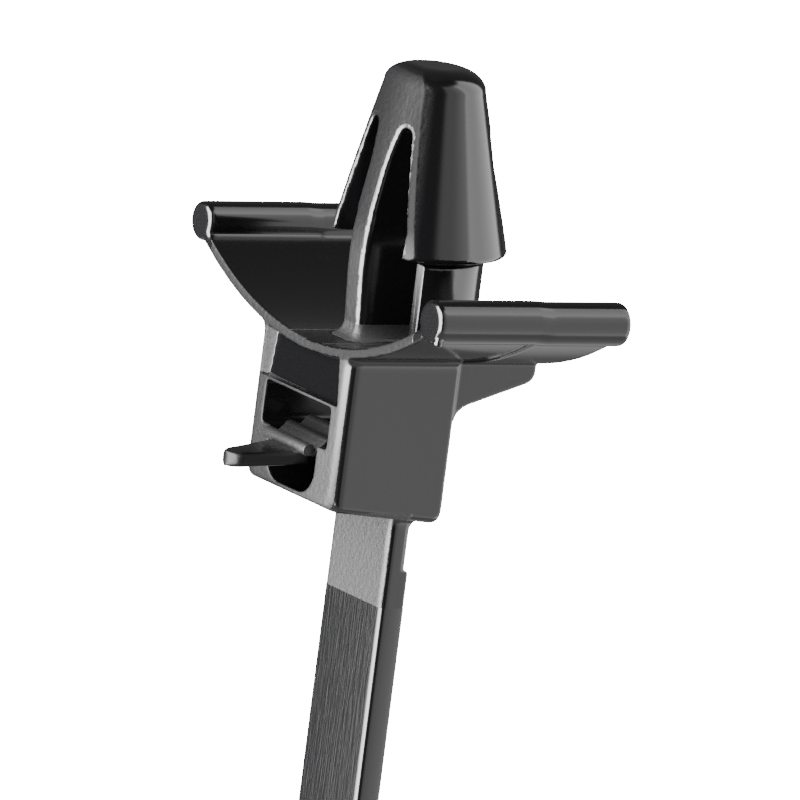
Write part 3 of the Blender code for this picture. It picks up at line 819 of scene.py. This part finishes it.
def finished(obj, material):
    """Scales a piece to metres, gives it its material and hands it to the frame."""
    obj.data.transform(Matrix.Scale(MM, 4))
    obj.data.materials.clear()
    obj.data.materials.append(material)
    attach(obj, "root")
    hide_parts("cable_tie")
    return obj


def make_moulding():
    """Everything of the one moulding that shows above the streaked strap, apart from the pawl."""
    pieces = [make_cone(), make_post(), make_collar(), make_head(), make_gate_mark()] + make_neck()
    pieces.append(make_wing_plate(WING_FRONT_THICKNESS, FRONT, HEAD_REAR + OVERLAP))
    pieces.append(make_wing_plate(WING_REAR_THICKNESS, HEAD_REAR, REAR))
    for side in (-1, 1):
        pieces.append(make_bead(side))
        pieces.append(make_gusset(side))
    body = moulded(joined("tie_moulding", pieces), SKIN_CELL, SKIN_SMOOTHING, SKIN_TRIANGLES)
    body.data.shade_smooth()
    cut_flat(body, STRAP_START)
    mark_surface(body, moulding_grain, nowhere, moulding_sheen)
    return body


def cut_flat(obj, height):
    """Cuts off what lies below a height and closes the cut."""
    bm = bmesh.new()
    bm.from_mesh(obj.data)
    geometry = bm.verts[:] + bm.edges[:] + bm.faces[:]
    bmesh.ops.bisect_plane(bm, geom=geometry, plane_co=(0, 0, height), plane_no=(0, 0, 1), clear_inner=True)
    rim = [edge for edge in bm.edges if len(edge.link_faces) == 1]
    for edge in rim:
        edge.smooth = False
    bmesh.ops.holes_fill(bm, edges=rim)
    bm.to_mesh(obj.data)
    bm.free()


def step_up(value, low, high):
    """Rises from 0 at low to 1 at high, and stays there."""
    return min(1.0, max(0.0, (value - low) / (high - low)))


def nowhere(point, normal):
    """The mark of a piece that has none."""
    return 0.0


def on_bead(point):
    """Whether a point of the wings lies on a bead."""
    return abs(point.x) > BEAD_SPACING / 2 - BEAD_RADIUS - OVERLAP


def recessed(point, normal):
    """Whether a point of the head lies inside its pocket, passage or cavity."""
    return point.y > FRONT + POCKET_RECESS / 2 and (point.x > 0 or normal.x < RECESS_SIDE)


def on_neck_front(point):
    """How far a point of the neck is on its front face."""
    return step_up(STRAP_FRONT - point.y, *NECK_FADE)


def moulding_grain(point, normal):
    """How grained the moulding is: its forward faces are, but not the recessed ones."""
    x, y, z = point
    if on_bead(point) and y < 0:
        return BEAD_END_GRAIN * step_up(-normal.y, *FLAT_FRONT)
    on_foot = abs(x) < POST_WIDTH / 2 + POST_FOOT_FLARE and y < -POST_FOOT_DEPTH / 2
    if on_foot and WING_FLOOR + FOOT_MARGIN < z < WING_FLOOR + POST_FOOT_FLARE:
        return 1.0
    if z > WING_FLOOR + POST_FOOT_FLARE:
        on_post_rim = x < (POST_ROOT_WIDTH + SLOT_TOP_WIDTH) / 2 and on_lit_rim(point)
        return step_up(-normal.y, *ARROWHEAD_FRONT) * (RIM_GRAIN if on_post_rim else 1.0)
    if z < HEAD_BOTTOM:
        return on_neck_front(point)
    if recessed(point, normal):
        return 0.0
    return step_up(-normal.y, *(WALL_FRONT if x < 0 or z < POCKET_BOTTOM else FLAT_FRONT))


def on_lit_rim(point):
    """Whether a point lies on the near slot's rim or the far slot's outer one, where a bright highlight line
    is painted.
    """
    if point.z < BARB_BOTTOM + BARB_RIM_ROUND and abs(point.x) > POST_ROOT_WIDTH / 2:
        return False
    lit_side = point.x > 0 or point.x < -POST_ROOT_WIDTH / 2 - OVERLAP
    return lit_side and RIM_TREE.find(point)[2] < PAINTED_RIM_LINE


def moulding_sheen(point, normal):
    """How much shine each place of the moulding keeps: the grain dulls it, and the levels also paint
    highlight and shade, with a painted highlight along the lit slot rims.
    """
    x, y, z = point
    if z > WING_FLOOR + POST_FOOT_FLARE and abs(x) < CONE_RIM_RADIUS:
        # A painted highlight line along the lit slot rims
        if on_lit_rim(point):
            return 1.0
        if z < BARB_BOTTOM and abs(x) > POST_ROOT_WIDTH:
            return 1.0
        # Painted shade: the face darkens towards its near side, and the post below the knee keeps more shine
        # than the face above
        level = ARROWHEAD_SHEEN * (1 - NEAR_SIDE_PAINTED_SHADE * step_up(x, *NEAR_SIDE_SHADE_FADE))
        level += (POST_SHEEN - level) * step_up(POST_KNEE_HEIGHT - z, *KNEE_FADE)
    elif on_bead(point):
        return 1.0
    elif z > floor_at(x, WING_FRONT_THICKNESS) - WING_EDGE_MARGIN:
        level = WING_EDGE_SHEEN if y < FRONT + OVERLAP else FOOT_SHEEN
    elif z > HEAD_BOTTOM:
        if recessed(point, normal):
            return 1.0
        # Painted light and shade: the far wall keeps less shine than the near wall, and the near wall's
        # rounded edge below the pocket gets painted shade
        level = FAR_WALL_SHEEN if x < 0 else NEAR_WALL_SHEEN
        if z < POCKET_BOTTOM:
            level *= 1 - NEAR_SIDE_PAINTED_SHADE * step_up(x, HEAD_SIDE - HEAD_EDGE, HEAD_SIDE - HEAD_EDGE / 3)
    else:
        return 1.0 + (NECK_SHEEN - 1.0) * on_neck_front(point)
    return 1.0 + (level - 1.0) * step_up(-normal.y, *SHEEN_FRONT)


def pawl_grain(point, normal):
    """The pawl's bars and the tab's tip are grained, though less than the moulding."""
    at_tip = step_up(PAWL_NOSE - point.y - TAB_LENGTH, *TAB_TIP_FADE)
    return BAR_GRAIN * max(at_tip, step_up(point.z + PAWL_FRONT_DROP, *BAR_FADE))


def strap_streaks(point, normal):
    """How streaked the strap is: its front face is drawn lengthwise."""
    return step_up(STRAP_FRONT - point.y, *STRAP_FADE)


def strap_sheen(point, normal):
    """How much of the nylon's shine the strap's front keeps: the streaks dull it, and its low level also
    paints shade on it.
    """
    return 1.0 + (STRAP_SHEEN - 1.0) * strap_streaks(point, normal)


def pawl_sheen(point, normal):
    """The first bar keeps all its shine; the bars behind it and the tab get painted shade."""
    behind = step_up(point.y, PAWL_NOSE + PAWL_TOOTH_RADIUS, PAWL_NOSE + TOOTH_PITCH / 2)
    below = step_up(-point.z - PAWL_FRONT_DROP, *TAB_FADE)
    return 1.0 + (TAB_SHEEN - 1.0) * max(below, behind)


def mark_surface(obj, grain, streaks, sheen):
    """Stores how grained, how streaked and how shiny each point is, for the nylon's texture; the shine levels
    also carry painted highlight and shade.
    """
    for name, measure in (("grain", grain), ("streaks", streaks), ("sheen", sheen)):
        layer = obj.data.attributes.new(name, "FLOAT", "POINT")
        values = [measure(vertex.co, vertex.normal) for vertex in obj.data.vertices]
        layer.data.foreach_set("value", values)


def make_strap(material):
    """The strap below its grained neck: a toothed track between two rails, then a thin tapered tail."""
    teeth_end = STRAP_END + TEETH_END_MARGIN
    track = prism("strap_track", track_section(STRAP_EDGE), "z", teeth_end, STRAP_START)
    half = STRAP_WIDTH / 2
    tip = TAIL_TIP_WIDTH / 2
    taper = STRAP_END + TAIL_TAPER_LENGTH
    outline = [(half, teeth_end + OVERLAP), (half, taper)]
    outline += arc((0.0, STRAP_END + tip), tip, -8, -90, 12)
    tail = prism("tail", mirrored(outline[:-1]), "y", STRAP_FRONT, STRAP_FRONT + TAIL_THICKNESS)
    rounded(tail, STRAP_EDGE, segments=6, degrees=50)
    strap = joined("strap", [track, tail])
    count = int((STRAP_START - teeth_end) / TOOTH_PITCH)
    tooth = make_tooth(STRAP_START)
    strap = repeated_along_strap(strap, tooth, TOOTH_PITCH, count, material)
    bpy.data.objects.remove(tooth, do_unlink=True)
    strap.data.shade_smooth()
    strap.data.set_sharp_from_angle(angle=math.radians(40))
    mark_surface(strap, nowhere, strap_streaks, strap_sheen)
    return strap


def repeated_along_strap(base, copy, pitch, count, material):
    """Joins a row of copies, one pitch apart down the strap, to the base by a small node tree."""
    tree = bpy.data.node_groups.new("tooth_row", "GeometryNodeTree")
    interface = tree.interface
    interface.new_socket("Base", in_out="INPUT", socket_type="NodeSocketGeometry")
    sockets = {}
    for name, kind in (("Tooth", "Object"), ("Pitch", "Float"), ("Count", "Int"), ("Finish", "Material")):
        socket = interface.new_socket(name, in_out="INPUT", socket_type="NodeSocket" + kind)
        sockets[name] = socket.identifier
    interface.new_socket("Strap", in_out="OUTPUT", socket_type="NodeSocketGeometry")
    start = tree.nodes.new("NodeGroupInput")
    end = tree.nodes.new("NodeGroupOutput")
    step = tree.nodes.new("ShaderNodeCombineXYZ")
    down = tree.nodes.new("ShaderNodeMath")
    down.operation = "MULTIPLY"
    down.inputs[1].default_value = -1.0
    row = tree.nodes.new("GeometryNodeMeshLine")
    info = tree.nodes.new("GeometryNodeObjectInfo")
    place = tree.nodes.new("GeometryNodeInstanceOnPoints")
    join = tree.nodes.new("GeometryNodeJoinGeometry")
    solid = tree.nodes.new("GeometryNodeRealizeInstances")
    paint = tree.nodes.new("GeometryNodeSetMaterial")
    link = tree.links.new
    link(start.outputs["Pitch"], down.inputs[0])
    link(down.outputs[0], step.inputs["Z"])
    link(step.outputs[0], row.inputs["Offset"])
    link(start.outputs["Count"], row.inputs["Count"])
    link(start.outputs["Tooth"], info.inputs["Object"])
    link(row.outputs["Mesh"], place.inputs["Points"])
    link(info.outputs["Geometry"], place.inputs["Instance"])
    link(start.outputs["Base"], join.inputs[0])
    link(place.outputs["Instances"], join.inputs[0])
    link(join.outputs[0], solid.inputs[0])
    link(solid.outputs[0], paint.inputs["Geometry"])
    link(start.outputs["Finish"], paint.inputs["Material"])
    link(paint.outputs[0], end.inputs[0])
    modifier = base.modifiers.new("tooth_row", "NODES")
    modifier.node_group = tree
    modifier[sockets["Tooth"]] = copy
    modifier[sockets["Pitch"]] = pitch
    modifier[sockets["Count"]] = count
    modifier[sockets["Finish"]] = material
    return baked(base)


def sum_node(tree, operation, *values):
    """One sum in a node tree; each value is a number or another node's output."""
    node = tree.nodes.new("ShaderNodeMath")
    node.operation = operation
    for socket, value in zip(node.inputs, values):
        if isinstance(value, float):
            socket.default_value = value
        else:
            tree.links.new(value, socket)
    return node.outputs[0]


def make_nylon():
    """Black nylon, glossy where the mould was polished, grained and streaked where the marks say so, with its
    shine and grained colour scaled by the sheen mark, which also paints highlight and shade.
    """
    material = bpy.data.materials.new("black_nylon")
    material.use_nodes = True
    tree = material.node_tree
    link = tree.links.new
    surface = tree.nodes["Principled BSDF"]

    def mark(name):
        node = tree.nodes.new("ShaderNodeAttribute")
        node.attribute_name = name
        return node.outputs["Fac"]

    def noise(scale, stretch, detail):
        place = tree.nodes.new("ShaderNodeTexCoord")
        mapping = tree.nodes.new("ShaderNodeMapping")
        mapping.inputs["Scale"].default_value = stretch
        node = tree.nodes.new("ShaderNodeTexNoise")
        node.inputs["Scale"].default_value = scale
        node.inputs["Detail"].default_value = detail
        link(place.outputs["Object"], mapping.inputs["Vector"])
        link(mapping.outputs["Vector"], node.inputs["Vector"])
        return node.outputs["Fac"]

    def maths(*sum_of):
        return sum_node(tree, *sum_of)

    def blend_colours(factor, smooth, rough):
        node = tree.nodes.new("ShaderNodeMix")
        node.data_type = "RGBA"
        node.inputs["A"].default_value = smooth
        node.inputs["B"].default_value = rough
        link(factor, node.inputs["Factor"])
        return node.outputs["Result"]

    grain = mark("grain")
    streaks = mark("streaks")
    pits = noise(GRAIN_SCALE, (1.0, 1.0, 1.0), GRAIN_DETAIL)
    lines = noise(STREAK_SCALE, (1.0, 1.0, STREAK_STRETCH), STREAK_DETAIL)
    rougher = maths("ADD", maths("MULTIPLY", grain, GRAIN_ROUGHNESS - SMOOTH_ROUGHNESS), SMOOTH_ROUGHNESS)
    rougher = maths("ADD", rougher, maths("MULTIPLY", streaks, STREAK_ROUGHNESS - SMOOTH_ROUGHNESS))
    link(rougher, surface.inputs["Roughness"])
    # The sheen mark scales the shine, and with the grain the colour: partly the grain's dulling, partly
    # painted highlight and shade
    sheen = mark("sheen")
    link(maths("MULTIPLY", sheen, SHINE), surface.inputs["Specular IOR Level"])
    grain_and_painted_shade = maths("MULTIPLY", grain, sheen)
    link(blend_colours(grain_and_painted_shade, SMOOTH_COLOUR, GRAIN_COLOUR), surface.inputs["Base Color"])
    height = maths("ADD", maths("MULTIPLY", maths("MULTIPLY", pits, grain), GRAIN_HEIGHT),
                   maths("MULTIPLY", maths("MULTIPLY", lines, streaks), STREAK_HEIGHT))
    bump = tree.nodes.new("ShaderNodeBump")
    bump.inputs["Strength"].default_value = 1.0
    bump.inputs["Distance"].default_value = MM
    link(height, bump.inputs["Height"])
    link(bump.outputs["Normal"], surface.inputs["Normal"])
    return material


def make_floor():
    """A plain pale sheet far below the mounted tie, just under the strap's tip."""
    bm = bmesh.new()
    bmesh.ops.create_grid(bm, x_segments=1, y_segments=1, size=FLOOR_REACH)
    floor = add_mesh("floor", bm)
    floor.data.transform(Matrix.Translation((0.0, 0.0, (STRAP_END - FLOOR_GAP) * MM)))
    material = bpy.data.materials.new("pale_floor")
    material.use_nodes = True
    surface = material.node_tree.nodes["Principled BSDF"]
    surface.inputs["Base Color"].default_value = (FLOOR_BRIGHTNESS, FLOOR_BRIGHTNESS, FLOOR_BRIGHTNESS, 1.0)
    surface.inputs["Roughness"].default_value = FLOOR_ROUGHNESS
    surface.inputs["Emission Color"].default_value = (1.0, 1.0, 1.0, 1.0)
    surface.inputs["Emission Strength"].default_value = BACKDROP
    floor.data.materials.append(material)
    floor.visible_glossy = False
    floor.visible_diffuse = False
    floor.visible_shadow = False


def make_world():
    """Soft light as broad windows in a dark room, and a bright backdrop that only the camera sees."""
    world = bpy.data.worlds.new("studio")
    world.use_nodes = True
    bpy.context.scene.world = world
    tree = world.node_tree
    tree.nodes.clear()
    coordinates = tree.nodes.new("ShaderNodeTexCoord")
    split = tree.nodes.new("ShaderNodeSeparateXYZ")
    tree.links.new(coordinates.outputs["Generated"], split.inputs[0])

    def maths(*sum_of):
        return sum_node(tree, *sum_of)

    def ramp(value, low, high):
        node = tree.nodes.new("ShaderNodeMapRange")
        node.interpolation_type = "SMOOTHSTEP"
        tree.links.new(value, node.inputs["Value"])
        node.inputs["From Min"].default_value = low
        node.inputs["From Max"].default_value = high
        return node.outputs[0]

    camera_angle = math.radians(VIEW_AZIMUTH - 90.0)
    along = (math.cos(camera_angle), math.sin(camera_angle))
    across = (-along[1], along[0])
    x, y, z = split.outputs
    forward = maths("ADD", maths("MULTIPLY", x, along[0]), maths("MULTIPLY", y, along[1]))
    right = maths("ADD", maths("MULTIPLY", x, across[0]), maths("MULTIPLY", y, across[1]))
    bearing = maths("ARCTAN2", right, forward)
    height = maths("ARCSINE", z)

    def window(bearing_centre, half_width, low, high, blur, strength):
        away = maths("ABSOLUTE", maths("SUBTRACT", bearing, math.radians(bearing_centre)))
        inside = ramp(away, math.radians(half_width + blur), math.radians(half_width - blur))
        above = ramp(height, math.radians(low - blur), math.radians(low + blur))
        below = ramp(height, math.radians(high + blur), math.radians(high - blur))
        shape = maths("MULTIPLY", maths("MULTIPLY", inside, above), below)
        return maths("MULTIPLY", shape, strength)

    total = window(*WINDOWS[0])
    for settings in WINDOWS[1:]:
        total = maths("ADD", total, window(*settings))
    ground = maths("MULTIPLY", ramp(height, *map(math.radians, GROUND_HEIGHTS)), GROUND_LIGHT)
    behind = maths("ABSOLUTE", bearing)
    behind = maths("MULTIPLY", ramp(behind, *map(math.radians, REAR_BEARINGS)), REAR_LIGHT)
    total = maths("ADD", maths("ADD", total, ground), maths("ADD", behind, ROOM_LIGHT))
    seen = tree.nodes.new("ShaderNodeLightPath")
    choice = tree.nodes.new("ShaderNodeMix")
    tree.links.new(seen.outputs["Is Camera Ray"], choice.inputs["Factor"])
    tree.links.new(total, choice.inputs[2])
    choice.inputs[3].default_value = BACKDROP
    light = tree.nodes.new("ShaderNodeBackground")
    tree.links.new(choice.outputs[0], light.inputs["Strength"])
    output = tree.nodes.new("ShaderNodeOutputWorld")
    tree.links.new(light.outputs[0], output.inputs[0])


def make_camera():
    """Looks from the photograph's side, slightly from above, with the photograph's roll and frame."""
    azimuth = math.radians(VIEW_AZIMUTH)
    elevation = math.radians(VIEW_ELEVATION)
    roll = math.radians(VIEW_ROLL)
    level = Vector((math.cos(azimuth), math.sin(azimuth), 0.0))
    rise = Vector((0.0, 0.0, 1.0)) * math.cos(elevation)
    rise += Vector((-math.sin(azimuth), math.cos(azimuth), 0.0)) * math.sin(elevation)
    right = level * math.cos(roll) + rise * math.sin(roll)
    up = rise * math.cos(roll) - level * math.sin(roll)
    back = right.cross(up)
    middle = FRAME_PIXELS / 2
    aim = Vector((0.0, 0.0, BEAD_LEVEL))
    aim += right * (middle - BEAD_LEVEL_PIXEL[0]) / PIXELS_PER_MM
    aim -= up * (middle - BEAD_LEVEL_PIXEL[1]) / PIXELS_PER_MM
    place = (aim + back * CAMERA_DISTANCE) * MM
    data = bpy.data.cameras.new("camera")
    data.sensor_width = SENSOR_WIDTH
    data.lens = SENSOR_WIDTH * CAMERA_DISTANCE * PIXELS_PER_MM / FRAME_PIXELS
    data.clip_start = 0.01
    data.clip_end = 100.0
    camera = bpy.data.objects.new("camera", data)
    bpy.context.scene.collection.objects.link(camera)
    columns = Matrix((right, up, back)).transposed().to_4x4()
    camera.matrix_world = Matrix.Translation(place) @ columns
    bpy.context.scene.camera = camera


RIM_TREE = rim_tree()
make_camera()
make_world()
make_floor()
nylon = make_nylon()
finished(make_moulding(), nylon)
finished(make_pawl(), nylon)
finished(make_strap(nylon), nylon)
